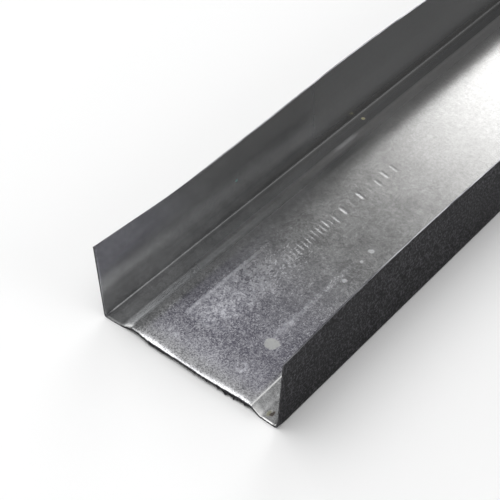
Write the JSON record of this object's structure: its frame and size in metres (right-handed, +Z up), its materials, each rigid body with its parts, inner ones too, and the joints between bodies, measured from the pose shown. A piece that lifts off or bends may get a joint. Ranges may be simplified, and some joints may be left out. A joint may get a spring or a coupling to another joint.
{
  "type": "drywall track",
  "caption": "Straight U-shaped galvanised steel drywall track with plain flanges and a shallow raised web panel, fixed to floor or ceiling to hold stud ends.",
  "frame": {"origin": "on the floor plane under the middle of the track, half way along its length", "axes": "+X across the web from flange to flange, +Y along the length, +Z up towards the flanges' free edges"},
  "size_m": [0.0796, 3, 0.032],
  "materials": {
    "galvanised_steel": "zinc-coated sheet, satin grey with fine spangle, handling scuffs and white marks"
  },
  "bodies": {
    "root": {"drywall_track": "galvanised_steel"}
  },
  "joints": []
}
